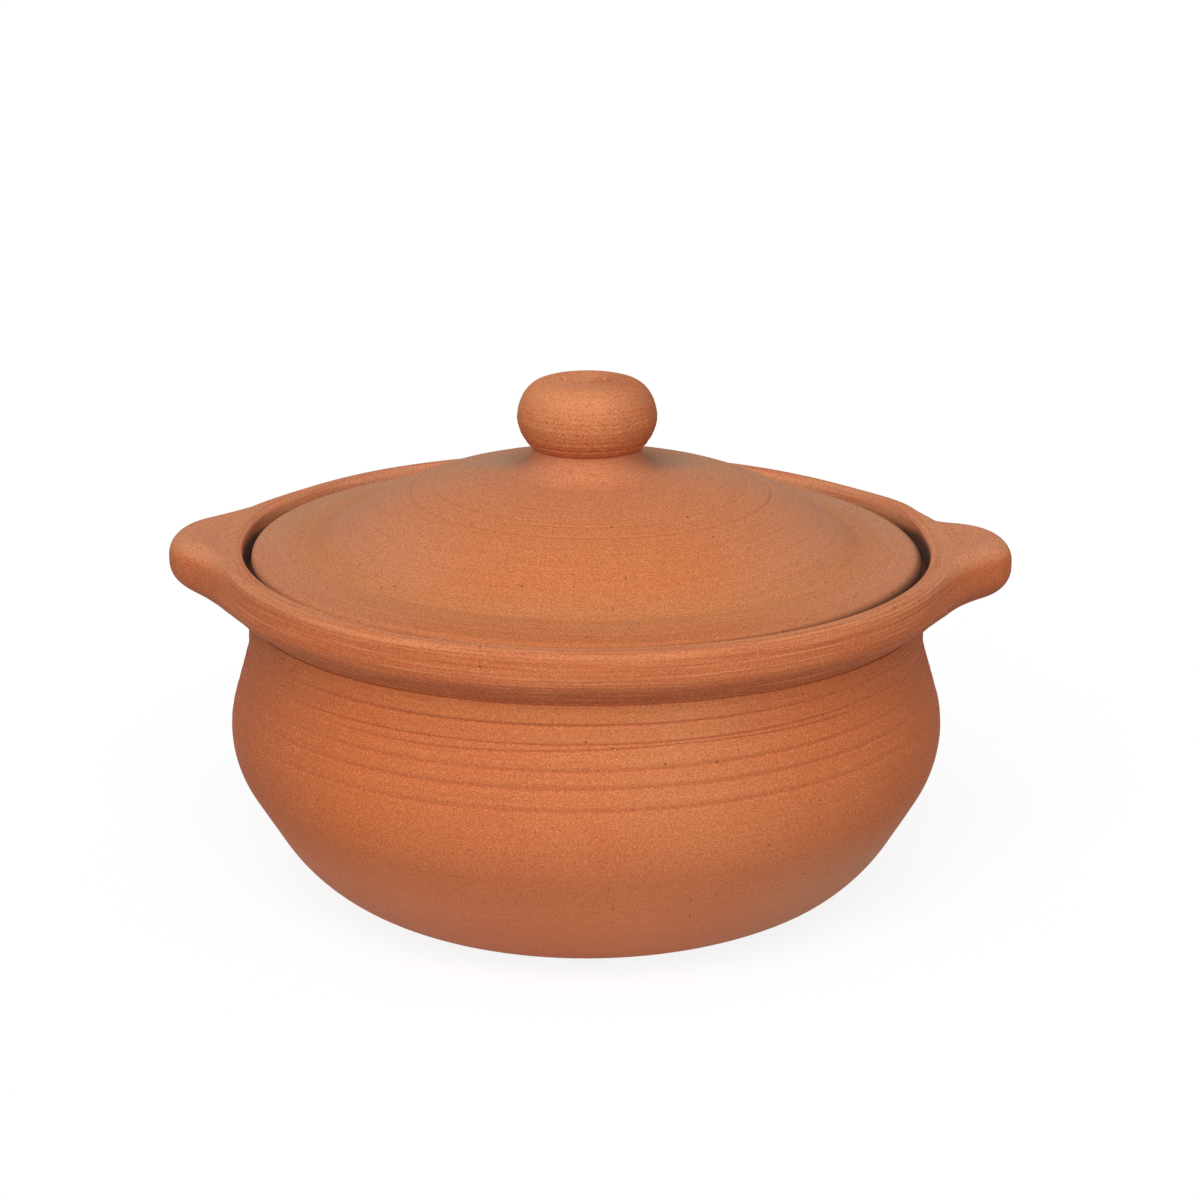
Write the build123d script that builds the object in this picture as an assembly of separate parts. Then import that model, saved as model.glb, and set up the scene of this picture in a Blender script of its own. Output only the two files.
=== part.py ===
from build123d import *
import os

# Lidded earthenware cooking pot: a thrown bowl with a collar rim and a ledge for the lid, two lugs
# luted to the collar along X, and a domed lid with a ball knob.
# Millimetres, +Z up, origin at the centre of the flat base.
# Outlines are drawn with X as the radius and Y as the height, then turned about the upright axis.

# Bowl: straight flank, shoulder and neck lines with rounded corners between them
neck_radius = 115.9
belly_bulge = 9.7  # from the neck out to where flank and shoulder would meet
flank_foot_radius = 89.7  # where the flank would meet the floor
belly_height = 57.9
shoulder_rise = 34.3
neck_rise = 13.1
foot_round = 57.0
belly_round = 36.4
neck_round = 20.0
wall = 6.0

# Throwing rings: shallow grooves from the belly up to the neck
ring_count = 5
ring_pitch = 6.7
ring_start = 14.0  # above the belly height
ring_tool_radius = 2.5
ring_depth = 0.6

# Collar rim and the gallery that takes the lid
collar_overhang = 8.6
collar_height = 19.8
collar_undercut = 6.0  # rise of the underside from the neck to its outer edge
collar_lower_round = 4.5
rim_width = 6.0
gallery_depth = 10.1

# Lugs
lug_reach = 20.5  # beyond the collar
lug_tip_radius = 18.0
lug_flare_round = 100.0
lug_thickness = 14.8
lug_drop = 0.3  # top of the lug below the rim, where it leaves the collar
lug_rise = 2.6  # from there up to the tip
lug_root_depth = 2.0  # how far inside the collar the flare would run out
lug_overlap = 8.0  # how far inside the collar the lug is drawn before it is cut to sit on it

# Lid
lid_gap = 3.1  # all round, in the gallery
lid_foot_width = 9.4
lid_edge_height = 7.0
lid_edge_round = 2.5
flange_width = 20.6
flange_rise = 4.1
flange_round = 4.0
dome_corner_radius = 57.0  # where the dome's side and crown would meet
dome_rise = 22.8
dome_round = 95.0
crown_rise = 3.1
lid_thickness = 7.0  # measured upright

# Knob and its seat on the crown
seat_radius = 18.2
seat_rise = 7.7  # the flare under the knob takes it all up
knob_radius = 23.7
knob_widest = 10.1  # above the seat
knob_height = 22.8
knob_fullness = 1.5  # how square the ball's outline is
dish_radius = 8.0
dish_depth = 1.2

# Heights and radii that follow
neck_height = belly_height + shoulder_rise
collar_bottom = neck_height + neck_rise
rim_top = collar_bottom + collar_height
ledge_height = rim_top - gallery_depth
belly_corner_radius = neck_radius + belly_bulge
collar_radius = neck_radius + collar_overhang
gallery_radius = collar_radius - rim_width
rim_round = 0.46 * rim_width

lid_radius = gallery_radius - lid_gap
edge_height = ledge_height + lid_edge_height
step_radius = lid_radius - flange_width
step_height = edge_height + flange_rise
dome_height = step_height + dome_rise
crown_height = dome_height + crown_rise
seat_height = crown_height + seat_rise
knob_top = seat_height + knob_height

lug_top = rim_top - lug_drop
lug_round = 0.36 * lug_thickness
lug_tip_centre = collar_radius + lug_reach - lug_tip_radius


def turned(section):
    """The solid that a half section makes when it turns about the upright axis."""
    return revolve(Plane.XZ * section, Axis.Z)


def inset_corner(before, corner, after, inset):
    """Where a corner of a polyline goes when both its sides move to their left by inset."""
    first = (corner - before).normalized()
    second = (after - corner).normalized()
    lean = first.rotate(Axis.Z, 90) + second.rotate(Axis.Z, 90)
    return corner + lean * (inset / (1 + first.dot(second)))


def bowl_face(inset, top):
    """Half face of the bowl up to the height top, its sides moved inwards by inset."""
    start = Vector(0, 0)
    foot = Vector(flank_foot_radius, 0)
    belly = Vector(belly_corner_radius, belly_height)
    neck = Vector(neck_radius, neck_height)
    end = Vector(neck_radius, top)
    outline = FilletPolyline(
        (0, inset),
        inset_corner(start, foot, belly, inset),
        inset_corner(foot, belly, neck, inset),
        inset_corner(belly, neck, end, inset),
        (neck_radius - inset, top),
        radius=[foot_round - inset, belly_round - inset, neck_round + inset],
    )
    return make_face(outline + Polyline((neck_radius - inset, top), (0, top), (0, inset)))


def collar_face():
    """Half face of the collar, filled to the axis, with its outer corners rounded."""
    face = make_face(
        Polyline(
            (0, collar_bottom),
            (neck_radius, collar_bottom),
            (collar_radius, collar_bottom + collar_undercut),
            (collar_radius, rim_top),
            (0, rim_top),
            close=True,
        )
    )
    lower = face.vertices().sort_by(Axis.X)[-2:].sort_by(Axis.Y)[0]
    face = fillet(lower, collar_lower_round)
    upper = face.vertices().group_by(Axis.Y)[-1].sort_by(Axis.X)[-1]
    return fillet(upper, rim_round)


def outer_face():
    """Half face of the pot as if it were solid clay."""
    return bowl_face(0, ledge_height) + collar_face()


def ring_grooves():
    """Half faces that the throwing rings take out of the shoulder and neck."""
    grooves = Sketch()
    for number in range(ring_count):
        height = belly_height + ring_start + number * ring_pitch
        up_shoulder = min(1, (height - belly_height) / shoulder_rise)
        surface = belly_corner_radius - belly_bulge * up_shoulder
        grooves += Pos(surface + ring_tool_radius - ring_depth, height) * Circle(ring_tool_radius)
    return grooves


def make_pot_body():
    """Thrown bowl with the collar rim, the lid's ledge and the throwing rings."""
    gallery = Pos(0, ledge_height) * Rectangle(
        gallery_radius, gallery_depth, align=(Align.MIN, Align.MIN)
    )
    section = outer_face() - bowl_face(wall, ledge_height) - gallery
    lip = section.vertices().group_by(Axis.Y)[-1].sort_by(Axis.X)[0]
    section = fillet(lip, rim_round)
    return turned(section - ring_grooves())


def lug_side():
    """Face of a lug seen from the side: a band that climbs outwards, drawn past the tip and the pot."""
    inner = -2 * collar_radius
    outer = 2 * lug_reach
    inner_top = lug_top + lug_rise * inner / lug_reach
    outer_top = lug_top + lug_rise * outer / lug_reach
    return make_face(
        Polyline(
            (collar_radius + inner, inner_top - lug_thickness),
            (collar_radius + outer, outer_top - lug_thickness),
            (collar_radius + outer, outer_top),
            (collar_radius + inner, inner_top),
            close=True,
        )
    )


def make_lug():
    """Solid lug on the +X side: clay drawn out of the collar to a tongue, cut to sit on the collar."""
    plan = Circle(collar_radius - lug_root_depth) + Pos(lug_tip_centre, 0) * Circle(lug_tip_radius)
    corners = plan.vertices().filter_by(lambda vertex: abs(vertex.Y) > 1)
    plan = fillet(corners, lug_flare_round)
    slab = extrude(plan, 2 * rim_top) & extrude(Plane.XZ * lug_side(), 2 * collar_radius, both=True)
    slab = fillet(slab.faces().filter_by(GeomType.PLANE).edges(), lug_round)
    near_side = Pos(collar_radius - lug_overlap, 0, 0) * Box(
        2 * (lug_overlap + lug_reach),
        2 * collar_radius,
        2 * rim_top,
        align=(Align.MIN, Align.CENTER, Align.MIN),
    )
    return (slab & near_side) - turned(outer_face())


def make_lid():
    """Domed lid with a flange, a foot ring on the ledge and a flared seat for the knob."""
    top = FilletPolyline(
        (seat_radius, seat_height),
        (seat_radius, crown_height),
        (dome_corner_radius, dome_height),
        (step_radius, step_height),
        (lid_radius, edge_height),
        (lid_radius, ledge_height),
        radius=[seat_rise, dome_round, flange_round, lid_edge_round],
    )
    underside = Polyline(
        (lid_radius, ledge_height),
        (lid_radius - lid_foot_width, ledge_height),
        (step_radius, step_height - lid_thickness),
        (dome_corner_radius, dome_height - lid_thickness),
        (0, crown_height - lid_thickness),
        (0, seat_height),
        (seat_radius, seat_height),
    )
    section = make_face(top + underside)
    crown = section.vertices().filter_by(
        lambda vertex: abs(vertex.Y - dome_height + lid_thickness) < 1e-3
    )
    return turned(fillet(crown, dome_round))


def make_knob():
    """Ball knob with a shallow dish in its top, standing on the lid's seat."""
    base = (seat_radius, seat_height)
    widest = (knob_radius, seat_height + knob_widest)
    brim = (dish_radius, knob_top)
    fullness = [knob_fullness, knob_fullness]
    lower = Spline(base, widest, tangents=[(1, 0.6), (0, 1)], tangent_scalars=fullness)
    upper = Spline(widest, brim, tangents=[(0, 1), (-1, 0)], tangent_scalars=fullness)
    core = Polyline(brim, (0, knob_top), (0, seat_height), base)
    ball = turned(make_face(lower + upper + core))
    dish_sphere = (dish_radius**2 + dish_depth**2) / (2 * dish_depth)
    return ball - Pos(0, 0, knob_top - dish_depth + dish_sphere) * Sphere(dish_sphere)


def main():
    right_lug = make_lug()
    nodes = {
        "pot_body": make_pot_body(),
        "right_lug": right_lug,
        "left_lug": right_lug.rotate(Axis.Z, 180),
        "lid": make_lid(),
        "lid_knob": make_knob(),
    }
    os.makedirs("parts", exist_ok=True)
    for name, solid in nodes.items():
        export_step(solid, f"parts/{name}.step")


main()
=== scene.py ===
import math
from collections import namedtuple

import bpy
import numpy as np
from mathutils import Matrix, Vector


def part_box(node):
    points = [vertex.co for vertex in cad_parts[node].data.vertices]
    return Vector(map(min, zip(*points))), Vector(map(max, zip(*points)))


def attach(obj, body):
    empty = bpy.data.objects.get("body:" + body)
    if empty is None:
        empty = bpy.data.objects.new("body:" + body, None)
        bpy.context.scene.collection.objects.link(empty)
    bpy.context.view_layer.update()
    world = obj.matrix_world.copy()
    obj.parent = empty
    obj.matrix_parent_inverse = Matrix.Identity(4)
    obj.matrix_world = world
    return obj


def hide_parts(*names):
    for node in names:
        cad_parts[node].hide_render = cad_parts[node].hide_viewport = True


# Lidded earthenware cooking pot: the fired clay with its throwing marks, on a white studio floor.
# Metres, +Z up, origin at the centre of the base, +X towards the right lug.
# A section is drawn with the radius first and the height second, and runs from the bottom centre
# round the outside to the top centre, so that every surface faces out of the clay.

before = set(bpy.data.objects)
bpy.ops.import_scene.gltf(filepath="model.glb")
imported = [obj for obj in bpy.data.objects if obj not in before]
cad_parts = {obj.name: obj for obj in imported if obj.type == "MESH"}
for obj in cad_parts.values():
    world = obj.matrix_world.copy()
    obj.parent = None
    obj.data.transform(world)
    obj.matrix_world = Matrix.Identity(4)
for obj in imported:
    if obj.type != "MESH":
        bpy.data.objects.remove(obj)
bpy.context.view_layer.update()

# Sizes that the solids give
collar_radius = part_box("pot_body")[1].x
rim_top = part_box("pot_body")[1].z
lug_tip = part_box("right_lug")[1].x
lid_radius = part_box("lid")[1].x - 0.0010
ledge_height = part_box("lid")[0].z
seat_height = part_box("lid_knob")[0].z
knob_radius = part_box("lid_knob")[1].x
ball_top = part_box("lid_knob")[1].z

# A low bump on a ring of clay: the angle it faces, its half width and its height
Swell = namedtuple("Swell", "facing width height")

# Bowl; the angle of the low swell is seen from the front
neck_radius = collar_radius - 0.0086
belly_corner = (neck_radius + 0.0097, 0.0579)
foot_corner = (0.0898, 0.0)
neck_corner = (neck_radius, 0.0922)
bowl_rounds = (0.0600, 0.0364, 0.020)
wall = 0.006
low_swell = Swell(math.radians(60), math.radians(35), 0.0006)

# Collar rim and gallery; the rim is uneven, higher on the left and at the back, and the ledge is level.
# The undercut below the collar is shallower by the web where it runs into a lug.
collar_bottom = rim_top - 0.0198
collar_undercut = 0.0085
lug_web = 0.0035
collar_lower_round = 0.0090
crease_depth = 0.0012
crease_height = 0.0005
rim_width = 0.0071
rim_round = 0.0028
rim_lip_round = 0.0012
rim_inner_slope = 0.007
gallery_radius = collar_radius - rim_width
ledge_inner_round = 0.001
rim_lift_left = math.radians(0.54)
rim_lift_back = math.radians(0.34)
rim_swells = (
    Swell(math.radians(21), math.radians(12), 0.0021),
    Swell(math.radians(163), math.radians(12), 0.0008),
)

# Lugs: each is the collar drawn out to a round tongue that rises a little
lug_rise = 0.0026
Curve = namedtuple("Curve", "tip_radius flare_round")
Lug = namedtuple("Lug", "facing tip back front thickness upper_round lower_round")
lugs = (
    Lug(
        facing=0.055,
        tip=lug_tip + 0.0018,
        back=Curve(tip_radius=0.0203, flare_round=0.021),
        front=Curve(tip_radius=0.0170, flare_round=0.105),
        thickness=0.0192,
        upper_round=0.0082,
        lower_round=0.0084,
    ),
    Lug(
        facing=math.pi - 0.05,
        tip=lug_tip - 0.0012,
        back=Curve(tip_radius=0.0270, flare_round=0.80),
        front=Curve(tip_radius=0.0255, flare_round=0.100),
        thickness=0.0160,
        upper_round=0.0078,
        lower_round=0.0068,
    ),
)

# Lid
lid_foot_width = 0.0094
lid_edge_height = 0.0089
lid_edge_lift_left = math.radians(0.7)
lid_edge_round = 0.0025
lid_under_round = 0.004
step_corner = (lid_radius - 0.0206, ledge_height + 0.0111)
step_round = 0.004
dome_corner = (0.057, ledge_height + 0.0339)
dome_round = 0.095
crown_height = ledge_height + 0.0361
lid_thickness = 0.007

# Knob and its seat
seat_radius = 0.0186
lid_lean = 0.0003
ball_radius = knob_radius + 0.0001
ball_widest = seat_height + 0.0101
crest_radius = 0.0128
dish_radius = 0.0085
dish_depth = 0.0008

# Mesh fineness, and where a section stops short of the axis
pole_radius = 0.002
column_count = 480
column_crowding = 0.45
collar_rows = 110
lip_rows = 24

# Camera, fitted to the photograph's outline
camera_place = Vector((0.00465, -1.2, 0.4618))
camera_target = Vector((0.00465, 0.0, 0.1048))
camera_lens = 109.14
sensor_width = 36.0

# The throwing spiral, once for each time it comes round to the front: its height, its depth, and how
# far the groove reaches above and below its deepest line
Turn = namedtuple("Turn", "height depth above below")
throwing_spiral = (
    Turn(0.0640, 0.00006, 0.0016, 0.0008),
    Turn(0.0711, 0.00046, 0.0012, 0.0004),
    Turn(0.0780, 0.00052, 0.0011, 0.0004),
    Turn(0.0836, 0.00050, 0.0010, 0.0004),
    Turn(0.0918, 0.00050, 0.0005, 0.0003),
    Turn(0.0981, 0.00060, 0.0008, 0.0003),
    Turn(0.1032, 0.00010, 0.0006, 0.0004),
)

# A single mark of a tool or a finger: its path, as pairs of an angle seen from the front and a place on
# the section, its depth, and how far it reaches above and below its deepest line
Mark = namedtuple("Mark", "path depth above below")
wall_marks = (
    Mark(
        ((-0.95, 0.0882), (-0.45, 0.0882), (0.28, 0.0912), (0.65, 0.0908), (1.0, 0.0905)),
        0.00050, 0.0005, 0.0003,
    ),
    Mark(((-0.3, 0.0876), (0.4, 0.0880)), 0.00014, 0.0006, 0.0005),
    Mark(((-0.7, 0.0734), (0.2, 0.0748)), 0.00016, 0.0006, 0.0005),
    Mark(((0.3, 0.1012), (1.3, 0.1014)), 0.00018, 0.0005, 0.0004),
    Mark(((-0.1, 0.1024), (0.6, 0.1027)), 0.00016, 0.0004, 0.0004),
)
lid_marks = (
    Mark(
        ((-3.1, 0.0620), (-1.57, 0.0602), (0, 0.0616), (1.57, 0.0630), (3.1, 0.0622)),
        0.00034, 0.0004, 0.0005,
    ),
    Mark(((-1.6, 0.0525), (0, 0.0536), (1.57, 0.0548), (2.4, 0.0550)), 0.00026, 0.0004, 0.0004),
    Mark(((-0.5, 0.0552), (0, 0.0556), (0.7, 0.0554)), 0.00028, 0.0004, 0.0004),
    Mark(((-0.6, 0.1010), (0.7, 0.1014)), 0.00012, 0.0006, 0.0006),
    Mark(((-0.9, 0.1062), (0.5, 0.1060)), 0.00014, 0.0006, 0.0006),
)
knob_marks = (
    Mark(((-3.1, seat_height + 0.0027), (3.1, seat_height + 0.0027)), 0.00030, 0.0004, 0.0004),
    Mark(((-1.2, seat_height + 0.0121), (1.2, seat_height + 0.0123)), 0.00014, 0.0003, 0.0003),
)

# Depth of cut from which a groove's painted shade is as dark as it gets, and the height of the finest
# ridges
carved_fully = 0.0005
ripple_height = 0.00003

# Dents in the top of the knob: where they start and end, their depth and their half width
Dent = namedtuple("Dent", "start end depth width")
knob_dents = (
    Dent((-0.0076, 0.0030), (-0.0072, -0.0010), 0.0010, 0.0008),
    Dent((0.0060, 0.0028), (0.0081, -0.0026), 0.0010, 0.0007),
)


# Lines and sections

def unit(vector):
    return vector / np.linalg.norm(vector)


def smooth(value, low, high):
    """0 up to low, 1 from high, and a soft rise between them."""
    share = np.clip((value - low) / (high - low), 0, 1)
    return share * share * (3 - 2 * share)


def corner_arc(before, corner, after, radius):
    """Points of the arc that rounds a corner, from one side to the other."""
    back = unit(before - corner)
    onward = unit(after - corner)
    half = math.acos(np.clip(back @ onward, -1, 1)) / 2
    centre = corner + unit(back + onward) * radius / math.sin(half)
    start = corner + back * radius / math.tan(half) - centre
    side = math.copysign(1, back[0] * onward[1] - back[1] * onward[0])
    angles = np.linspace(0, -side * (math.pi - 2 * half), 24)
    across = np.array([-start[1], start[0]])
    return centre + np.outer(np.cos(angles), start) + np.outer(np.sin(angles), across)


def rounded_line(corners, radii):
    """Points along a polyline with each of its inner corners rounded."""
    corners = [np.array(corner, float) for corner in corners]
    pieces = [corners[0][None]]
    for before, corner, after, radius in zip(corners, corners[1:], corners[2:], radii):
        pieces.append(corner_arc(before, corner, after, radius))
    pieces.append(corners[-1][None])
    return np.concatenate(pieces)


def lengths_along(line):
    """How far along a line each of its points is."""
    steps = np.linalg.norm(np.diff(line, axis=0), axis=1)
    return np.concatenate([[0], np.cumsum(steps)])


def points_at(line, places, wanted):
    """Points of a line at the wanted values of places, which grow along it."""
    return np.column_stack([np.interp(wanted, places, axis) for axis in line.T])


def even_points(line, count):
    """A number of points at even distances along a line."""
    places = lengths_along(line)
    return points_at(line, places, np.linspace(0, places[-1], count))


def spaced_points(line, spacing):
    """Points along a line at the distances that a function of the place asks for."""
    fine = even_points(line, 4000)
    steps = np.linalg.norm(np.diff(fine, axis=0), axis=1)
    places = np.concatenate([[0], np.cumsum(steps / spacing(fine[1:]))])
    return points_at(fine, places, np.linspace(0, places[-1], round(places[-1]) + 1))


def bezier(start, pull_start, pull_end, end, count=60):
    """Points of a cubic curve between two ends, drawn by its two pulls."""
    share = np.linspace(0, 1, count)[:, None]
    rest = 1 - share
    ends = rest**3 * np.array(start) + share**3 * np.array(end)
    return ends + 3 * rest * share * (rest * np.array(pull_start) + share * np.array(pull_end))


def inset_line(corners, distance):
    """Corners of a polyline moved to the left of its way by a distance."""
    corners = [np.array(corner, float) for corner in corners]
    moved = []
    for before, corner, after in zip(corners, corners[1:], corners[2:]):
        first = unit(corner - before)
        second = unit(after - corner)
        lean = np.array([-first[1] - second[1], first[0] + second[0]])
        moved.append(corner + lean * distance / (1 + first @ second))
    return moved


def section_normals(section):
    """The way out of the clay at each point of a section."""
    way = np.gradient(section, axis=0)
    way = way / np.linalg.norm(way, axis=1)[:, None]
    return np.column_stack([way[:, 1], -way[:, 0]])


# Throwing marks

def turns():
    """Angles of the mesh's columns, crowded towards the two lugs."""
    even = np.arange(column_count) * 2 * math.pi / column_count
    return even - column_crowding * np.sin(2 * even) / 2


def from_front(angles):
    """Angles seen from the front: 0 nearest to the viewer, growing to the right."""
    return (angles + math.pi / 2 + math.pi) % (2 * math.pi) - math.pi


def groove(offset, above, below):
    """Share of a groove's depth at an offset from its deepest line, positive above it."""
    width = np.where(offset > 0, above, below)
    return np.exp(-((offset / width) ** 2))


def spiral_groove(height, angles):
    """Depth of the throwing spiral, which climbs to the right and shows most at the front."""
    front = from_front(angles)
    faintest = 0.35
    strength = faintest + (1 - faintest) * (1 - smooth(np.abs(front - 0.05), 0.5, 1.3))
    cut = np.zeros((len(height), front.size))
    count = len(throwing_spiral)
    for number in range(count):
        turn = number + front / (2 * math.pi)
        sizes = [np.interp(turn, range(count), size) for size in zip(*throwing_spiral)]
        line, depth, above, below = sizes
        cut += strength * depth * groove(height[:, None] - line, above, below)
    return cut


def cut_marks(place, angles, marks):
    """Depth of single marks, for each place along a section and each angle, fading out at their ends."""
    front = from_front(angles)
    fade = 0.25
    cut = np.zeros((len(place), front.size))
    for mark in marks:
        path_angles, path_places = zip(*mark.path)
        line = np.interp(front, path_angles, path_places)
        rise = smooth(front, path_angles[0], path_angles[0] + fade)
        fall = 1 - smooth(front, path_angles[-1] - fade, path_angles[-1])
        cut += mark.depth * rise * fall * groove(place[:, None] - line, mark.above, mark.below)
    return cut


def ripples(place, angles, wavelengths, height, seed):
    """Shallow spiral ridges left by the fingers, a sum of waves that each climb round the pot."""
    draw = np.random.default_rng(seed)
    front = from_front(angles)[None]
    place = place[:, None]
    total = np.zeros((len(place), front.size))
    for wavelength in wavelengths:
        start = draw.uniform(0, 2 * math.pi)
        strength = 1 + 0.6 * np.sin(front + draw.uniform(0, 2 * math.pi))
        total += strength * np.sin(2 * math.pi * place / wavelength + front + start)
    return height * total / math.sqrt(len(wavelengths))


def wobble(angles, size, seed):
    """Slow change of radius round a hand-thrown ring."""
    draw = np.random.default_rng(seed)
    total = np.zeros(angles.size)
    for lobes in (2, 3, 5):
        total += np.sin(lobes * angles + draw.uniform(0, 2 * math.pi)) / lobes
    return size * total[None]


# Meshes

def turned_mesh(name, points, along, angles, **values):
    """Closed mesh from rows of points, with the first and last row each closed by a centre point.

    The point attribute turning holds the direction round the axis and the distance along the section.
    Each of the named values becomes a point attribute too.
    """
    rows, columns = points.shape[:2]
    centres = [points[0].mean(axis=0), points[-1].mean(axis=0)]
    vertices = np.concatenate([points.reshape(-1, 3), centres])
    index = np.arange(rows * columns).reshape(rows, columns)
    ahead = np.roll(index, -1, axis=1)
    quads = np.stack([index[:-1], ahead[:-1], ahead[1:], index[1:]], axis=-1).reshape(-1, 4)
    first = np.full(columns, rows * columns)
    bottom = np.stack([ahead[0], index[0], first], axis=-1)
    top = np.stack([index[-1], ahead[-1], first + 1], axis=-1)
    mesh = bpy.data.meshes.new(name)
    mesh.from_pydata(vertices.tolist(), [], quads.tolist() + bottom.tolist() + top.tolist())
    mesh.shade_smooth()
    turning = np.empty((rows, columns, 3))
    turning[..., 0] = np.cos(angles)
    turning[..., 1] = np.sin(angles)
    turning[..., 2] = along[:, None]
    turning = np.concatenate([turning.reshape(-1, 3), [[0, 0, along[0]], [0, 0, along[-1]]]])
    attribute = mesh.attributes.new("turning", "FLOAT_VECTOR", "POINT")
    attribute.data.foreach_set("vector", turning.astype(np.float32).ravel())
    for value_name, value in values.items():
        attribute = mesh.attributes.new(value_name, "FLOAT", "POINT")
        attribute.data.foreach_set("value", np.append(value, [0, 0]).astype(np.float32))
    piece = bpy.data.objects.new(name, mesh)
    bpy.context.scene.collection.objects.link(piece)
    return piece


def swept(section, push, angles):
    """Rows of points made by turning a section, each pushed out along the section's normal."""
    normals = section_normals(section)
    radius = section[:, 0:1] + push * normals[:, 0:1]
    height = section[:, 1:2] + push * normals[:, 1:2]
    return np.stack([radius * np.cos(angles), radius * np.sin(angles), height], axis=-1)


def lift_rim(points, level_below):
    """Lifts points towards the rim as the uneven rim asks, and leaves them level below a height.

    On the left the wall below the collar stays level too, so the collar is taller there.
    """
    across, deep, height = points[..., 0], points[..., 1], points[..., 2]
    left_level_below = max(level_below, collar_bottom - 0.004)
    share = smooth(height, level_below, rim_top)
    left_share = smooth(height, left_level_below, rim_top)
    lift = deep * math.tan(rim_lift_back) - np.maximum(across, 0) * math.tan(rim_lift_left)
    facing = np.arctan2(deep, across)
    for swell in rim_swells:
        lift += swell.height * np.exp(-(((facing - swell.facing) / swell.width) ** 2))
    left_lift = -np.minimum(across, 0) * math.tan(rim_lift_left)
    points[..., 2] += lift * share + left_lift * left_share


# Pot

def bowl_corners():
    return [(0, 0), foot_corner, belly_corner, neck_corner, (neck_radius, collar_bottom)]


def wall_section():
    """Outside of the bowl from the base centre to the undercut below the collar."""
    line = rounded_line(bowl_corners(), bowl_rounds)
    line[0] = (pole_radius, 0)
    line[-1] -= (0, crease_height)
    line = np.append(line, [(neck_radius - crease_depth, collar_bottom)], axis=0)
    fine_from = 0.066
    fine_step, coarse_step = 0.0002, 0.0014

    def spacing(points):
        return np.where(points[:, 1] > fine_from, fine_step, coarse_step)

    return spaced_points(line, spacing)


def rim_lip(angles):
    """Rows of points from the rim's crest into the gallery: a soft slope behind, a sharp lip in front."""
    rim_crest = gallery_radius + rim_width / 2
    lip_end = (gallery_radius, rim_top - rim_inner_slope)
    soft = bezier(
        (rim_crest, rim_top),
        (rim_crest - 0.6 * rim_width / 2, rim_top),
        (gallery_radius, rim_top - 0.4 * rim_inner_slope),
        lip_end,
    )
    sharp = rounded_line([(rim_crest, rim_top), (gallery_radius, rim_top), lip_end], [rim_lip_round])
    softness = smooth(np.sin(angles), 0.1, 0.45)[None, :, None]
    level = np.zeros((lip_rows, angles.size))
    soft_points = swept(even_points(soft, lip_rows), level, angles)
    sharp_points = swept(even_points(sharp, lip_rows), level, angles)
    return sharp_points + (soft_points - sharp_points) * softness


def inside_section():
    """From below the rim's lip over the ledge down the inside to the floor's centre."""
    foot, belly, neck = inset_line(bowl_corners(), wall)
    corners = [
        (gallery_radius, rim_top - rim_inner_slope),
        (gallery_radius, ledge_height),
        (neck_radius - wall, ledge_height),
        neck,
        belly,
        foot,
        (pole_radius, wall),
    ]
    foot_round, belly_round, neck_round = bowl_rounds
    rounds = [
        ledge_inner_round,
        ledge_inner_round,
        neck_round + wall,
        belly_round - wall,
        foot_round - wall,
    ]

    fine_from = ledge_height - 0.003
    fine_step, coarse_step = 0.0005, 0.002

    def spacing(points):
        return np.where(points[:, 1] > fine_from, fine_step, coarse_step)

    return spaced_points(rounded_line(corners, rounds), spacing)


def flare_outline(tip_end, tip_radius, flare_round):
    """Half of a lug's outline from above, from the tip round to where it runs into the collar."""
    centre = tip_end - tip_radius
    to_flare = collar_radius + flare_round
    cosine = (to_flare**2 + centre**2 - (tip_radius + flare_round) ** 2) / (2 * centre * to_flare)
    root = math.acos(cosine)
    flare = to_flare * np.array([cosine, math.sin(root)])
    turn = math.atan2(flare[1], flare[0] - centre)
    tip_angles = np.linspace(0, turn, 40)
    tip = np.array([centre, 0]) + tip_radius * np.column_stack([np.cos(tip_angles), np.sin(tip_angles)])
    flare_angles = np.linspace(turn + math.pi, root + math.pi, 200)
    run_out = flare + flare_round * np.column_stack([np.cos(flare_angles), np.sin(flare_angles)])
    return np.concatenate([tip, run_out[1:]])


def lug_points(angles):
    """How the lugs draw out the collar at each column.

    Gives the point above which the collar's face stands, how far that is drawn out, what share of the
    lug's reach that is, and the number of the lug.
    """
    direction = np.column_stack([np.cos(angles), np.sin(angles)])
    outline = collar_radius * direction
    full_reach = np.ones(angles.size)
    owner = np.zeros(angles.size, int)
    for number, lug in enumerate(lugs):
        turn = (angles - lug.facing + math.pi) % (2 * math.pi) - math.pi
        cosine, sine = math.cos(lug.facing), math.sin(lug.facing)
        for side, curve in ((1, lug.back), (-1, lug.front)):
            half = flare_outline(lug.tip, *curve)
            root = math.atan2(half[-1, 1], half[-1, 0])
            way = side * math.copysign(1, cosine)
            share = way * turn / root
            mine = (share >= 0) & (share <= 1)
            places = lengths_along(half)
            local = points_at(half, places, share[mine] * places[-1])
            local[:, 1] *= way
            outline[mine, 0] = local[:, 0] * cosine - local[:, 1] * sine
            outline[mine, 1] = local[:, 0] * sine + local[:, 1] * cosine
            full_reach[mine] = lug.tip - collar_radius
            owner[mine] = number
    reach = np.linalg.norm(outline - collar_radius * direction, axis=1)
    return outline, reach, smooth(reach / full_reach, 0, 1), owner


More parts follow.
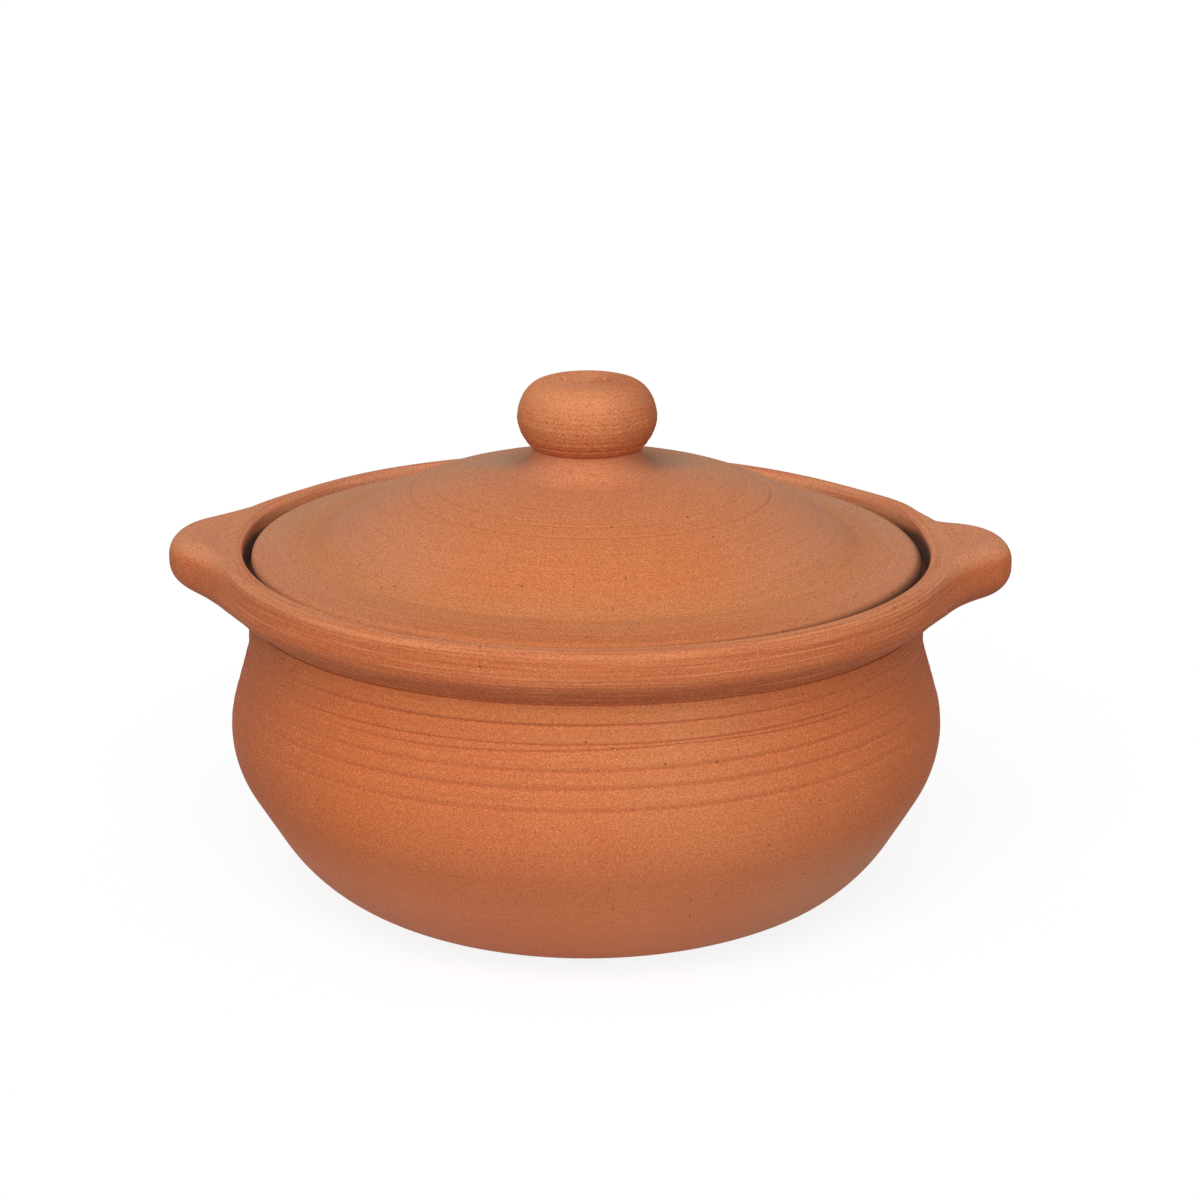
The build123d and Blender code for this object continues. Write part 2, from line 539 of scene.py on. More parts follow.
def collar_section(reach, drawn, lug, undercut):
    """Undercut, underside, face and top of the collar, drawn out into a lug; 0 is the collar's face."""
    lower = collar_bottom + undercut
    lug_bottom = rim_top + lug_rise - lug.thickness
    corners = [
        (neck_radius - crease_depth - collar_radius, collar_bottom),
        (neck_radius - collar_radius, collar_bottom),
        (reach, lower + (lug_bottom - lower) * drawn),
        (reach, rim_top + lug_rise * drawn),
        (-rim_width / 2, rim_top),
    ]
    rounds = [
        crease_height,
        collar_lower_round + (lug.lower_round - collar_lower_round) * drawn**2,
        min(lug.upper_round, rim_round + 0.8 * reach),
    ]
    return even_points(rounded_line(corners, rounds), collar_rows)


def collar_points(angles):
    """Rows of points over the collar and the lugs, from the undercut to the rim's crest."""
    outline, reach, drawn, owner = lug_points(angles)
    undercut = collar_undercut - lug_web * smooth(np.abs(np.cos(angles)), 0.75, 0.97)
    points = np.empty((collar_rows, angles.size, 3))
    for column, angle in enumerate(angles):
        section = collar_section(reach[column], drawn[column], lugs[owner[column]], undercut[column])
        radial = np.array([math.cos(angle), math.sin(angle)])
        root = collar_radius * radial
        way = (outline[column] - root) / reach[column] if reach[column] > 1e-6 else radial
        outside = np.maximum(section[:, :1], 0) * way
        inside = np.minimum(section[:, :1], 0) * radial
        points[:, column, :2] = root + outside + inside
        points[:, column, 2] = section[:, 1]
    return points, reach


def pot_wall(angles):
    """The bowl's outside: its line, its rows of points, and the depth of the marks cut into them."""
    line = wall_section()
    height = line[:, 1]
    cut = spiral_groove(height, angles) + cut_marks(height, angles, wall_marks)
    shoulder = smooth(height, 0.055, 0.075)[:, None]
    wavelengths = (0.0019, 0.0027, 0.0041, 0.0063, 0.0098)
    push = ripples(height, angles, wavelengths, ripple_height, seed=3) * shoulder
    push -= cut
    push += wobble(angles, 0.0003, seed=5) * smooth(height, 0.0, 0.04)[:, None]
    low_down = smooth(height, 0.002, 0.012) * (1 - smooth(height, 0.035, 0.06))
    facing = from_front(angles) - low_swell.facing
    push += low_swell.height * low_down[:, None] * np.exp(-((facing / low_swell.width) ** 2))
    return line, swept(line, push, angles), cut


def thrown_collar(angles):
    """Collar and lugs, with fine ridges round the collar, and how far each column is drawn out."""
    points, reach = collar_points(angles)
    rows = np.arange(collar_rows)
    about_length = 0.034
    place = np.linspace(0, about_length, collar_rows)
    ridges = ripples(place, angles, (0.0013, 0.0021, 0.0034), ripple_height, seed=7)
    off_lugs = 1 - smooth(reach, 0.001, 0.006)
    off_edges = smooth(rows, 8, 20) * smooth(rows[::-1], 4, 12)
    push = ridges * off_lugs * off_edges[:, None]
    points[..., 0] += np.cos(angles) * push
    points[..., 1] += np.sin(angles) * push
    return points, reach


def pot_inside(angles):
    """The pot's inside: its line below the lip, and its rows of points from the rim to the floor."""
    line = inside_section()
    below_ledge = smooth(ledge_height - line[:, 1], 0.004, 0.012)[:, None]
    ring_height = 0.00016
    rings = ripples(line[:, 1], angles, (0.0071, 0.0093, 0.0125), ring_height, seed=11) * below_ledge
    return line, np.concatenate([rim_lip(angles)[:-1], swept(line, rings, angles)])


def pot_lengths(wall_line, inside_line):
    """How far along the pot's section each of its rows is, away from the lugs."""
    collar = collar_section(0, 0, lugs[0], collar_undercut)[1:-1] + (collar_radius, 0)
    lip = inside_line[0] + np.linspace((0, rim_inner_slope), (0, 0), lip_rows)[:-1]
    return lengths_along(np.concatenate([wall_line, collar, lip, inside_line]))


def make_pot():
    """Bowl, collar and lugs as one skin of clay."""
    angles = turns()
    wall_line, wall_points, cut = pot_wall(angles)
    collar, reach = thrown_collar(angles)
    inside_line, inside = pot_inside(angles)
    outside = np.concatenate([wall_points, collar[1:-1]])
    lift_rim(outside, belly_corner[1])
    lift_rim(inside, ledge_height + 0.001)
    points = np.concatenate([outside, inside])
    handled = np.zeros(points.shape[:2])
    handled[len(wall_points):len(outside)] = smooth(reach, 0, 0.006)
    carved = np.zeros(points.shape[:2])
    carved[:len(wall_points)] = cut / carved_fully
    along = pot_lengths(wall_line, inside_line)
    piece = turned_mesh("pot_clay_body", points, along, angles, handled=handled, carved=carved)
    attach(piece, "pot")
    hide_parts("pot_body", "left_lug", "right_lug")
    return piece


# Lid and knob

def lid_section():
    """From the hollow's centre out to the foot, up the edge and over the dome to the knob's seat."""
    foot_radius = lid_radius - lid_foot_width
    under = np.array([0, -lid_thickness])
    corners = [
        (pole_radius, crown_height - lid_thickness),
        np.array(dome_corner) + under,
        np.array(step_corner) + under,
        (foot_radius, ledge_height),
        (lid_radius, ledge_height),
        (lid_radius, ledge_height + lid_edge_height),
        step_corner,
        dome_corner,
        (seat_radius, crown_height),
        (seat_radius, seat_height),
        (pole_radius, seat_height),
    ]
    flare_round = seat_height - crown_height
    seat_round = 0.0004
    rounds = [
        dome_round,
        step_round,
        lid_edge_round,
        lid_under_round,
        lid_edge_round,
        step_round,
        dome_round,
        flare_round,
        seat_round,
    ]
    fine_step, coarse_step = 0.0004, 0.0015

    def spacing(points):
        on_top = points[:, 1] > ledge_height + 0.004
        outside = points[:, 0] > seat_radius - 0.0005
        return np.where(on_top & outside, fine_step, coarse_step)

    return spaced_points(rounded_line(corners, rounds), spacing)


def make_lid():
    """Domed lid with its flange, turning marks and the flare under the knob."""
    angles = turns()
    section = lid_section()
    along = lengths_along(section)
    widest = np.argmax(section[:, 0])
    rows_to_full = 12
    upper = smooth(np.arange(len(section)), widest, widest + rows_to_full)
    seat = smooth(section[:, 0], seat_radius, seat_radius + 0.004)
    shown = (upper * seat)[:, None]
    push = ripples(along, angles, (0.0023, 0.0037, 0.0061), ripple_height, seed=13) * shown
    cut = cut_marks(section[:, 0], angles, lid_marks) * shown
    points = swept(section, push - cut, angles)
    level_within = 0.07
    warp = upper * smooth(section[:, 0], level_within, lid_radius - 0.004)
    points[..., 2] -= warp[:, None] * points[..., 0] * math.tan(lid_edge_lift_left)
    points[..., 0] += lid_lean * smooth(points[..., 2], ledge_height + lid_edge_height, crown_height)
    piece = turned_mesh("lid_clay_dome", points, along, angles, carved=cut / carved_fully)
    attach(piece, "lid")
    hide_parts("lid")
    return piece


def knob_section():
    """Ball from its seat up over the crest and into the dish."""
    lower = bezier(
        (seat_radius, seat_height),
        (seat_radius + 0.0026, seat_height + 0.0013),
        (ball_radius, ball_widest - 0.0033),
        (ball_radius, ball_widest),
    )
    upper = bezier(
        (ball_radius, ball_widest),
        (ball_radius, ball_widest + 0.0025),
        (crest_radius + 0.0096, ball_top),
        (crest_radius, ball_top),
    )
    dish = bezier(
        (crest_radius, ball_top),
        (dish_radius, ball_top),
        (dish_radius, ball_top - dish_depth),
        (pole_radius / 2, ball_top - dish_depth),
    )
    base = np.array([(pole_radius, seat_height)])
    return even_points(np.concatenate([base, lower, upper[1:], dish[1:]]), 220)


def press_dents(points, dents):
    """Presses dents with a raised lip into the knob's top, and tells how deep in them each point lies."""
    on_top = smooth(points[..., 2], ball_top - 0.004, ball_top - 0.002)
    deepest = np.zeros(points.shape[:-1])
    for dent in dents:
        start, end = np.array(dent.start), np.array(dent.end)
        way = end - start
        share = np.clip(((points[..., :2] - start) @ way) / (way @ way), 0, 1)
        nearest = start + share[..., None] * way
        distance = np.linalg.norm(points[..., :2] - nearest, axis=-1) / dent.width
        lip = 0.4 * np.exp(-((distance - 2) ** 2))
        pressed = np.exp(-(distance**2)) - lip
        points[..., 2] -= dent.depth * pressed * on_top
        deepest = np.maximum(deepest, pressed * on_top)
    return deepest


def make_knob():
    """Ball knob with its shallow dish."""
    angles = turns()
    section = knob_section()
    along = lengths_along(section)
    ball = smooth(section[:, 1], seat_height + 0.0005, seat_height + 0.002)[:, None]
    push = ripples(along, angles, (0.0017, 0.0026, 0.0044), ripple_height, seed=17) * ball
    cut = cut_marks(section[:, 1], angles, knob_marks) * ball
    points = swept(section, push - cut, angles)
    dented = press_dents(points, knob_dents)
    points[..., 0] += lid_lean
    # The dents' depth sets their painted shade as well
    carved = cut / carved_fully + dented
    piece = turned_mesh("lid_clay_knob", points, along, angles, carved=carved)
    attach(piece, "lid")
    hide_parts("lid_knob")
    return piece


# Materials

# Where a point of the clay lies: the point itself, its distance from the upright axis, its depth, its
# height, and how far to the right it faces, from -1 on the left to 1 on the right
Place = namedtuple("Place", "point radius depth height to_right")

# Colours of the clay
clay = (0.655, 0.197, 0.063, 1)
red_clay = (0.625, 0.160, 0.053, 1)
pale_clay = (0.67, 0.250, 0.100, 1)
ochre_clay = (0.58, 0.22, 0.078, 1)
grey_clay = (0.38, 0.290, 0.205, 1)
# a cool painted sheen, low on the right of the bowl and behind on the lid
cool_sheen_clay = (0.52, 0.285, 0.170, 1)
# dark turning streaks, and painted shade in the cut marks and dents
streak_and_groove_shade = (0.47, 0.112, 0.04, 1)
# the sides' own red flush together with painted shade
flush_and_shade_clay = (0.60, 0.128, 0.027, 1)
# painted shade at the far sides of the wall and on the knob
painted_dark_shade = (0.40, 0.095, 0.032, 1)
# painted shade for the deep gap between lid and pot
gap_shade = (0.13, 0.045, 0.020, 1)
# a painted sheen of the pale floor on the lower bowl
low_sheen_clay = (0.57, 0.225, 0.140, 1)
# a tan painted sheen, on the lid and the rim at the sides and the back
tan_sheen_clay = (0.64, 0.282, 0.153, 1)
# painted shade, under the collar and on the lid behind the rim's lip
shaded_clay = (0.31, 0.062, 0.018, 1)
# a painted highlight, on the rim's top and the knob's upper half
highlight_clay = (0.80, 0.31, 0.142, 1)
dark_grain = (0.42, 0.115, 0.042, 1)
pale_grain = (0.80, 0.29, 0.12, 1)
pit_shade = (0.10, 0.03, 0.015, 1)
cream_speck = (0.85, 0.55, 0.34, 1)


def add_node(tree, kind, inputs=None, **settings):
    """A shader node with its settings, and its inputs set to values or linked to sockets."""
    node = tree.nodes.new(kind)
    for name, value in settings.items():
        setattr(node, name, value)
    for name, value in (inputs or {}).items():
        if isinstance(value, bpy.types.NodeSocket):
            tree.links.new(value, node.inputs[name])
        else:
            node.inputs[name].default_value = value
    return node


def noise(tree, vector, scale, detail=2.0, roughness=0.5):
    """Factor of a noise texture."""
    inputs = {"Vector": vector, "Scale": scale, "Detail": detail, "Roughness": roughness}
    return add_node(tree, "ShaderNodeTexNoise", inputs).outputs["Fac"]


def between(tree, value, low, high, to_low=0.0, to_high=1.0):
    """A value taken from one range to another, and held at the ends."""
    inputs = {"Value": value, "From Min": low, "From Max": high, "To Min": to_low, "To Max": to_high}
    return add_node(tree, "ShaderNodeMapRange", inputs).outputs["Result"]


def calculated(tree, operation, *values):
    """Result of a sum on values or sockets."""
    node = add_node(tree, "ShaderNodeMath", dict(enumerate(values)), operation=operation)
    return node.outputs["Value"]


def product(tree, *values):
    """All the values multiplied."""
    result = values[0]
    for value in values[1:]:
        result = calculated(tree, "MULTIPLY", result, value)
    return result


def mixed(tree, amount, first, second):
    """Two colours mixed."""
    inputs = {0: amount, 6: first, 7: second}
    return add_node(tree, "ShaderNodeMix", inputs, data_type="RGBA").outputs[2]


def tinted(tree, amount, strength, colour, tint):
    """A colour with some of a tint mixed in, as much as amount times strength."""
    return mixed(tree, product(tree, amount, strength), colour, tint)


def band(tree, value, low, high, soft):
    """1 between two values, fading to 0 over a soft width outside them."""
    rise = between(tree, value, low - soft, low)
    fall = between(tree, value, high, high + soft, 1.0, 0.0)
    return product(tree, rise, fall)


def spots(tree, point, scale, radius, share):
    """1 inside small round spots, in a share of the cells of a pattern."""
    cells = add_node(tree, "ShaderNodeTexVoronoi", {"Vector": point, "Scale": scale}).outputs
    chance = add_node(tree, "ShaderNodeSeparateColor", {"Color": cells["Color"]}).outputs["Red"]
    near = between(tree, cells["Distance"], 0.7 * radius, radius, 1.0, 0.0)
    return product(tree, near, calculated(tree, "LESS_THAN", chance, share))


def distance_from(tree, point, centre):
    """How far a point lies from a centre."""
    inputs = {0: point, 1: centre}
    return add_node(tree, "ShaderNodeVectorMath", inputs, operation="DISTANCE").outputs["Value"]


def mesh_value(tree, name, output="Fac"):
    """One of the values that the meshes hold at their points."""
    return add_node(tree, "ShaderNodeAttribute", attribute_name=name).outputs[output]


def streaks(tree, around, along):
    """Long lines drawn round the pot by the turning, finer the larger the two numbers are."""
    inputs = {"Vector": mesh_value(tree, "turning", "Vector"), "Scale": (around, around, along)}
    drawn = add_node(tree, "ShaderNodeMapping", inputs).outputs["Vector"]
    return noise(tree, drawn, 1.0, 3.0)


def new_clay(name):
    """An empty clay material, its node tree, and where a point of it lies."""
    material = bpy.data.materials.new(name)
    material.use_nodes = True
    tree = material.node_tree
    point = add_node(tree, "ShaderNodeTexCoord").outputs["Object"]
    axes = add_node(tree, "ShaderNodeSeparateXYZ", {"Vector": point}).outputs
    level = add_node(tree, "ShaderNodeCombineXYZ", {"X": axes["X"], "Y": axes["Y"]}).outputs["Vector"]
    radius = add_node(tree, "ShaderNodeVectorMath", {0: level}, operation="LENGTH").outputs["Value"]
    turning = mesh_value(tree, "turning", "Vector")
    to_right = add_node(tree, "ShaderNodeSeparateXYZ", {"Vector": turning}).outputs["X"]
    return material, tree, Place(point, radius, axes["Y"], axes["Z"], to_right)


def streaked(tree, colour, turned):
    """A colour with the streaks of turning and painted shade in the cut marks and dents; and the streaks
    themselves.
    """
    lines = streaks(tree, 2.2, 900.0)
    colour = tinted(tree, between(tree, lines, 0.45, 0.75, 0.0, 0.55), turned, colour, streak_and_groove_shade)
    fine = streaks(tree, 3.0, 1500.0)
    colour = tinted(tree, between(tree, fine, 0.52, 0.64, 0.0, 0.45), turned, colour, streak_and_groove_shade)
    colour = tinted(tree, between(tree, fine, 0.48, 0.36, 0.0, 0.45), turned, colour, pale_grain)
    # Painted shade in the cut marks and dents
    cut = between(tree, mesh_value(tree, "carved"), 0.1, 1.0, 0.0, 0.6)
    return mixed(tree, cut, colour, streak_and_groove_shade), lines


def sanded(tree, point, colour, rough):
    """A colour with sandy grain, and the relief of that grain."""
    grain = noise(tree, point, 900.0, 3.0, 0.65)
    colour = tinted(tree, between(tree, grain, 0.5, 0.72, 0.0, 0.35), rough, colour, dark_grain)
    colour = mixed(tree, between(tree, grain, 0.44, 0.3, 0.0, 0.25), colour, pale_clay)
    flattened = add_node(tree, "ShaderNodeMapping", {"Vector": point, "Scale": (0.6, 0.6, 1.5)})
    sand = noise(tree, flattened.outputs["Vector"], 2800.0, 1.0)
    colour = tinted(tree, between(tree, sand, 0.5, 0.68, 0.0, 0.75), rough, colour, dark_grain)
    colour = tinted(tree, between(tree, sand, 0.5, 0.32, 0.0, 0.7), rough, colour, pale_grain)
    relief = calculated(tree, "MULTIPLY", product(tree, grain, rough), -0.09)
    relief = calculated(tree, "MULTIPLY_ADD", product(tree, sand, rough), -0.05, relief)
    return colour, relief


def pitted(tree, point, colour):
    """A colour with pale specks and dark pits, and the pits themselves."""
    specks = spots(tree, point, 330.0, 0.09, 0.12)
    colour = tinted(tree, specks, 0.5, colour, cream_speck)
    pits = spots(tree, point, 240.0, 0.10, 0.15)
    return tinted(tree, pits, 0.75, colour, pit_shade), pits


def finish_clay(tree, point, colour, turned, rough, gap_shaded=0.0):
    """Gives a colour the marks of unglazed clay and links it to the shader.

    turned says how much the streaks show, rough how much the grain stands out, and the last one how much
    painted gap shade darkens it.
    """
    colour, lines = streaked(tree, colour, turned)
    colour, relief = sanded(tree, point, colour, rough)
    colour, pits = pitted(tree, point, colour)
    # Painted shade in the gap between lid and pot
    colour = mixed(tree, gap_shaded, colour, gap_shade)
    relief = calculated(tree, "MULTIPLY_ADD", product(tree, lines, turned), -0.1, relief)
    relief = calculated(tree, "MULTIPLY_ADD", pits, -0.3, relief)
    bump = add_node(tree, "ShaderNodeBump", {"Strength": 1.0, "Distance": 0.001, "Height": relief})
    shader = tree.nodes["Principled BSDF"]
    tree.links.new(colour, shader.inputs["Base Color"])
    tree.links.new(bump.outputs["Normal"], shader.inputs["Normal"])
    shader.inputs["Roughness"].default_value = 0.85
    shader.inputs["Specular IOR Level"].default_value = 0.25
    shader.inputs["Sheen Weight"].default_value = 0.02
    shader.inputs["Sheen Roughness"].default_value = 0.4


def bowl_colour(tree, place):
    """Clouded red clay, with a painted sheen low down that is stronger at the sides, a cool painted sheen
    low on the right, and a painted pool of light on the shoulder.
    """
    cloud = noise(tree, place.point, 16.0, 3.0)
    colour = mixed(tree, between(tree, cloud, 0.38, 0.62), red_clay, clay)
    to_side = calculated(tree, "ABSOLUTE", place.to_right)
    # Painted sheen low down, stronger towards the sides
    low_down = between(tree, place.height, 0.06, 0.01, 0.0, 0.6)
    colour = tinted(tree, low_down, between(tree, to_side, 0.1, 0.8, 0.6, 1.5), colour, low_sheen_clay)
    # Cool painted sheen low on the right
    lower = between(tree, place.height, 0.085, 0.035)
    colour = tinted(tree, lower, between(tree, place.to_right, 0.4, 0.95, 0.0, 0.7), colour, cool_sheen_clay)
    # Painted pool of light on the shoulder
    from_light_pool = distance_from(tree, place.point, (0.040, -0.112, 0.086))
    return mixed(tree, between(tree, from_light_pool, 0.012, 0.04, 0.5, 0.0), colour, pale_clay)


def either_side(tree, to_right, left, right):
    """The larger of two ranges of how far a point faces sideways, one for each side."""
    return calculated(tree, "MAXIMUM", between(tree, to_right, *left), between(tree, to_right, *right))


def flushed_and_shaded_sides(tree, place, colour, on_collar, handled):
    """A colour that turns redder and darker towards both sides of the upper wall, the clay's own flush
    with painted shade, and with painted shade darker still off the collar.
    """
    below_rim = between(tree, place.height, rim_top - 0.006, rim_top, 1.0, 0.0)
    upper_wall = product(tree, between(tree, place.height, 0.03, 0.055), below_rim)
    # Redder and darker towards the sides: the clay's own flush together with painted shade
    flush_and_shade = either_side(tree, place.to_right, (-0.15, -0.65, 0.0, 0.9), (0.25, 0.85, 0.0, 0.85))
    colour = tinted(tree, flush_and_shade, upper_wall, colour, flush_and_shade_clay)
    # Painted shade at the far sides, except on the collar
    darkened = either_side(tree, place.to_right, (-0.65, -0.95, 0.0, 0.75), (0.65, 0.95, 0.0, 0.3))
    off_collar = calculated(tree, "MAXIMUM", calculated(tree, "SUBTRACT", 1.0, on_collar), handled)
    return tinted(tree, product(tree, darkened, upper_wall), off_collar, colour, painted_dark_shade)


def rim_colour(tree, place, colour):
    """A colour with a painted highlight on the rim's top, and a tan painted sheen there at the sides and
    at the back.
    """
    across = product(tree, place.to_right, place.radius)
    level = calculated(tree, "MULTIPLY_ADD", across, math.tan(rim_lift_left), place.height)
    # Painted highlight on the rim's top
    on_rim = between(tree, level, rim_top - 0.004, rim_top - 0.0005)
    colour = tinted(tree, on_rim, 0.8, colour, highlight_clay)
    # Tan painted sheen on the rim at the sides and at the back
    to_side = calculated(tree, "ABSOLUTE", place.to_right)
    softly_on_rim = between(tree, level, rim_top - 0.004, rim_top + 0.0005)
    at_side = product(tree, softly_on_rim, between(tree, to_side, 0.5, 0.9))
    near_rim = between(tree, level, rim_top - 0.009, rim_top - 0.004)
    at_back = product(tree, near_rim, between(tree, place.depth, 0.0, 0.05))
    return tinted(tree, calculated(tree, "MAXIMUM", at_side, at_back), 0.9, colour, tan_sheen_clay)


def gallery_painted_shade(tree, place):
    """How much painted shade darkens the gallery beside the lid, starting lower down towards the back."""
    top = between(tree, place.depth, 0.02, 0.07, rim_top - 0.001, rim_top - 0.007)
    below_top = between(tree, calculated(tree, "SUBTRACT", top, place.height), 0.0, 0.0025)
    above_ledge = between(tree, place.height, ledge_height - 0.003, ledge_height - 0.001)
    at_gap = band(tree, place.radius, lid_radius - 0.003, gallery_radius + 0.0005, 0.0006)
    return product(tree, below_top, above_ledge, at_gap, 0.97)


def pot_clay():
    """The pot's clay: redder and brushed on the collar, with painted shade under the collar and in the
    gallery, and a painted highlight and sheen on the rim and the lugs' tops.
    """
    material, tree, place = new_clay("pot_clay_finish")
    off_axis = between(tree, place.radius, 0.01, 0.058)
    place = place._replace(to_right=product(tree, place.to_right, off_axis))
    handled = mesh_value(tree, "handled")
    on_collar = between(tree, place.height, collar_bottom - 0.001, collar_bottom + 0.002)
    colour = tinted(tree, on_collar, 0.7, bowl_colour(tree, place), red_clay)
    colour = flushed_and_shaded_sides(tree, place, colour, on_collar, handled)
    # Painted shade under the collar
    under_collar = band(tree, place.height, collar_bottom, collar_bottom + 0.004, 0.004)
    outside_neck = between(tree, place.radius, neck_radius, neck_radius + 0.001)
    colour = tinted(tree, product(tree, under_collar, outside_neck), 0.95, colour, shaded_clay)
    colour = rim_colour(tree, place, colour)
    brushed = between(tree, on_collar, 0.0, 1.0, 0.25, 1.4)
    turned = product(tree, brushed, between(tree, handled, 0.0, 1.0, 1.0, 0.15))
    rough = between(tree, place.height, 0.03, 0.06, 0.55, 1.0)
    finish_clay(tree, place.point, colour, turned, rough, gallery_painted_shade(tree, place))
    return material


def lid_colour(tree, place):
    """Orange in front, with a tan painted sheen at the sides, a cool painted sheen behind, painted shade
    behind the rim's lip in front, ochre at the step, and grey beside the knob.
    """
    cloud = noise(tree, place.point, 14.0, 3.0, 0.6)
    # Painted sheen: tan towards the back and at the sides, cool grey behind
    to_back = calculated(tree, "MULTIPLY_ADD", cloud, 0.05, place.depth)
    colour = mixed(tree, between(tree, to_back, -0.045, 0.05, 0.0, 0.9), clay, tan_sheen_clay)
    off_axis = between(tree, place.radius, 0.03, 0.09)
    to_side = product(tree, calculated(tree, "ABSOLUTE", place.to_right), off_axis)
    colour = mixed(tree, between(tree, to_side, 0.35, 0.95, 0.0, 0.95), colour, tan_sheen_clay)
    colour = mixed(tree, between(tree, to_back, 0.005, 0.055, 0.0, 0.9), colour, cool_sheen_clay)
    # Painted shade on the lid just behind the rim's lip, in front
    near_rim = between(tree, place.radius, lid_radius - 0.014, lid_radius - 0.006)
    in_front = between(tree, place.depth, 0.0, -0.05, 0.0, 0.15)
    colour = tinted(tree, near_rim, in_front, colour, shaded_clay)
    step_radius = step_corner[0]
    at_step = band(tree, place.radius, step_radius - 0.004, step_radius + 0.005, 0.006)
    colour = tinted(tree, at_step, 0.6, colour, ochre_clay)
    for side in (-1, 1):
        away = distance_from(tree, place.point, (side * 0.030, 0.016, crown_height))
        away = calculated(tree, "MULTIPLY_ADD", cloud, 0.012, away)
        colour = mixed(tree, between(tree, away, 0.010, 0.024, 0.85, 0.0), colour, grey_clay)
    return colour


def lid_clay():
    """The lid's clay, with painted shade on the side of its edge, in the gap by the rim."""
    material, tree, place = new_clay("lid_clay_finish")
    # Painted shade on the side of the lid's edge, in the gap by the rim
    edge = ledge_height + lid_edge_height
    below_edge = between(tree, place.height, edge - 0.0006, edge - 0.0020)
    outermost = between(tree, place.radius, lid_radius - 0.0035, lid_radius - 0.0015)
    gap_shaded = product(tree, below_edge, outermost, 0.95)
    finish_clay(tree, place.point, lid_colour(tree, place), 0.35, 0.9, gap_shaded)
    return material


def knob_clay():
    """The knob's clay: a painted highlight and smooth above, rough below, with painted shade at its foot
    and on its right.
    """
    material, tree, place = new_clay("knob_clay_finish")
    cloud = noise(tree, place.point, 40.0, 2.0)
    colour = mixed(tree, between(tree, cloud, 0.35, 0.65, 0.3, 0.9), clay, ochre_clay)
    # Painted highlight on the knob's upper half
    upper = between(tree, place.height, ball_widest - 0.001, ball_top - 0.004, 0.0, 0.75)
    colour = mixed(tree, upper, colour, highlight_clay)
    # Painted shade at the knob's foot
    foot = between(tree, place.height, seat_height + 0.009, seat_height + 0.002, 0.0, 0.4)
    colour = mixed(tree, foot, colour, painted_dark_shade)
    # Painted shade on the knob's right
    on_right = between(tree, place.to_right, 0.2, 0.95, 0.0, 0.6)
    colour = mixed(tree, on_right, colour, painted_dark_shade)
    rough = between(tree, place.height, ball_widest + 0.001, ball_widest + 0.008, 1.5, 0.9)
    finish_clay(tree, place.point, colour, 0.35, rough)
    return material


# Studio

def seen_directly(tree):
    """1 for rays that show the background itself: straight from the camera, mirrored or refracted."""
    path = add_node(tree, "ShaderNodeLightPath").outputs
    either = calculated(tree, "MAXIMUM", path["Is Camera Ray"], path["Is Glossy Ray"])
    return calculated(tree, "MAXIMUM", either, path["Is Transmission Ray"])


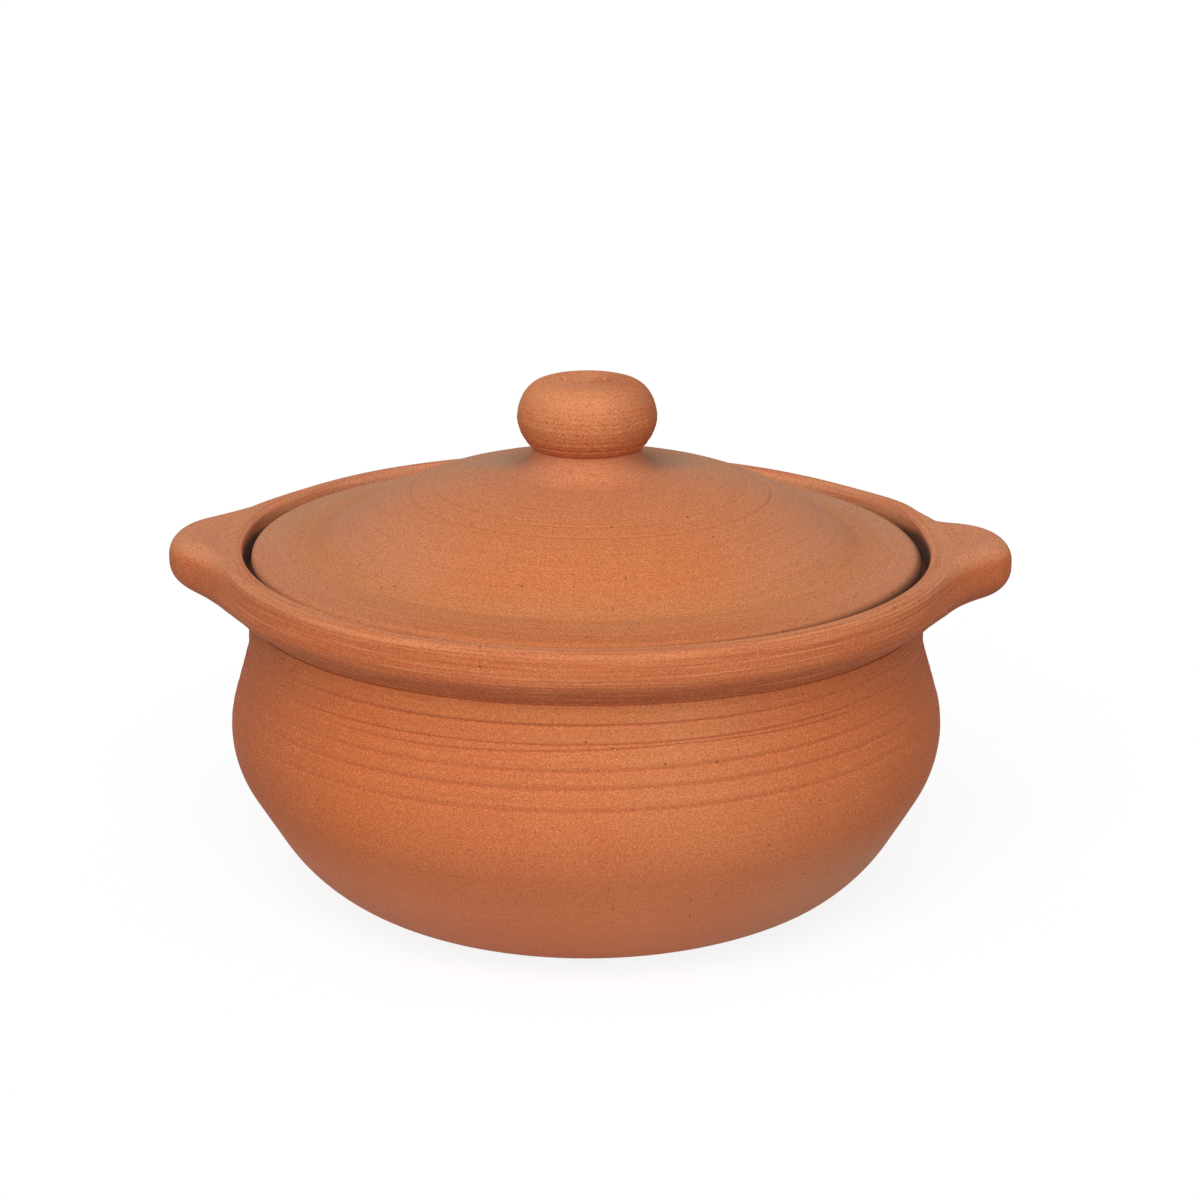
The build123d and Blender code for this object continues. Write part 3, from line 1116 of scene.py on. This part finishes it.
def floor_white():
    """The floor's look: white, with a faint soft shadow and a dark line where the pot stands."""
    bounced = 0.76  # share of the light that it throws back at the pot
    shadow_share = 0.12  # share of the white that a shadow can take away
    full_light = 0.73  # share of white that the lights alone would give
    contact_reach = 0.0012
    material = bpy.data.materials.new("studio_white")
    material.use_nodes = True
    tree = material.node_tree
    tree.nodes.clear()
    lit = add_node(tree, "ShaderNodeBsdfDiffuse", {"Color": (bounced, bounced, bounced, 1)})
    shade = shadow_share / full_light
    shadow = add_node(tree, "ShaderNodeBsdfDiffuse", {"Color": (shade, shade, shade, 1)})
    clear = add_node(tree, "ShaderNodeAmbientOcclusion", {"Distance": contact_reach}).outputs["AO"]
    white = between(tree, clear, 0.25, 0.6, 0.0, 1 - shadow_share)
    glow = add_node(tree, "ShaderNodeEmission", {"Strength": white})
    inputs = {0: shadow.outputs["BSDF"], 1: glow.outputs["Emission"]}
    shown = add_node(tree, "ShaderNodeAddShader", inputs)
    inputs = {0: seen_directly(tree), 1: lit.outputs["BSDF"], 2: shown.outputs["Shader"]}
    both = add_node(tree, "ShaderNodeMixShader", inputs)
    add_node(tree, "ShaderNodeOutputMaterial", {"Surface": both.outputs["Shader"]})
    return material


def make_floor():
    """Wide floor, just below the pot."""
    size = 40.0
    just_below = -0.0001
    mesh = bpy.data.meshes.new("studio_floor")
    corners = [(x * size, y * size, just_below) for x, y in ((-1, -1), (1, -1), (1, 1), (-1, 1))]
    mesh.from_pydata(corners, [], [(0, 1, 2, 3)])
    mesh.materials.append(floor_white())
    floor = bpy.data.objects.new("studio_floor", mesh)
    bpy.context.scene.collection.objects.link(floor)


def make_world():
    """Even white surroundings: white to look at, softer as light."""
    ambient = 0.05
    world = bpy.data.worlds.new("studio_world")
    bpy.context.scene.world = world
    world.use_nodes = True
    tree = world.node_tree
    strength = between(tree, seen_directly(tree), 0.0, 1.0, ambient, 1.0)
    background = tree.nodes["Background"]
    background.inputs["Color"].default_value = (1, 1, 1, 1)
    tree.links.new(strength, background.inputs["Strength"])


def add_soft_light(name, place, share, spread):
    """Wide soft light from a place's direction; a white wall that faces it shows that share of white."""
    light = bpy.data.lights.new(name, "SUN")
    light.energy = math.pi * share
    light.angle = math.radians(spread)
    lamp = bpy.data.objects.new(name, light)
    lamp.location = place
    lamp.rotation_euler = (-Vector(place)).to_track_quat("-Z", "Y").to_euler()
    bpy.context.scene.collection.objects.link(lamp)


def make_camera():
    """The photograph's camera."""
    data = bpy.data.cameras.new("photo_camera")
    data.lens = camera_lens
    data.sensor_width = sensor_width
    camera = bpy.data.objects.new("photo_camera", data)
    camera.location = camera_place
    camera.rotation_euler = (camera_target - camera_place).to_track_quat("-Z", "Y").to_euler()
    bpy.context.scene.collection.objects.link(camera)
    bpy.context.scene.camera = camera


# The scene

make_camera()
make_floor()
make_world()
add_soft_light("front_light", (-0.16, -1.48, 1.34), 0.775, 50.0)
add_soft_light("top_light", (0.0, -0.52, 1.93), 0.19, 90.0)
bpy.context.scene.view_settings.view_transform = "Standard"

make_pot().data.materials.append(pot_clay())
make_lid().data.materials.append(lid_clay())
make_knob().data.materials.append(knob_clay())
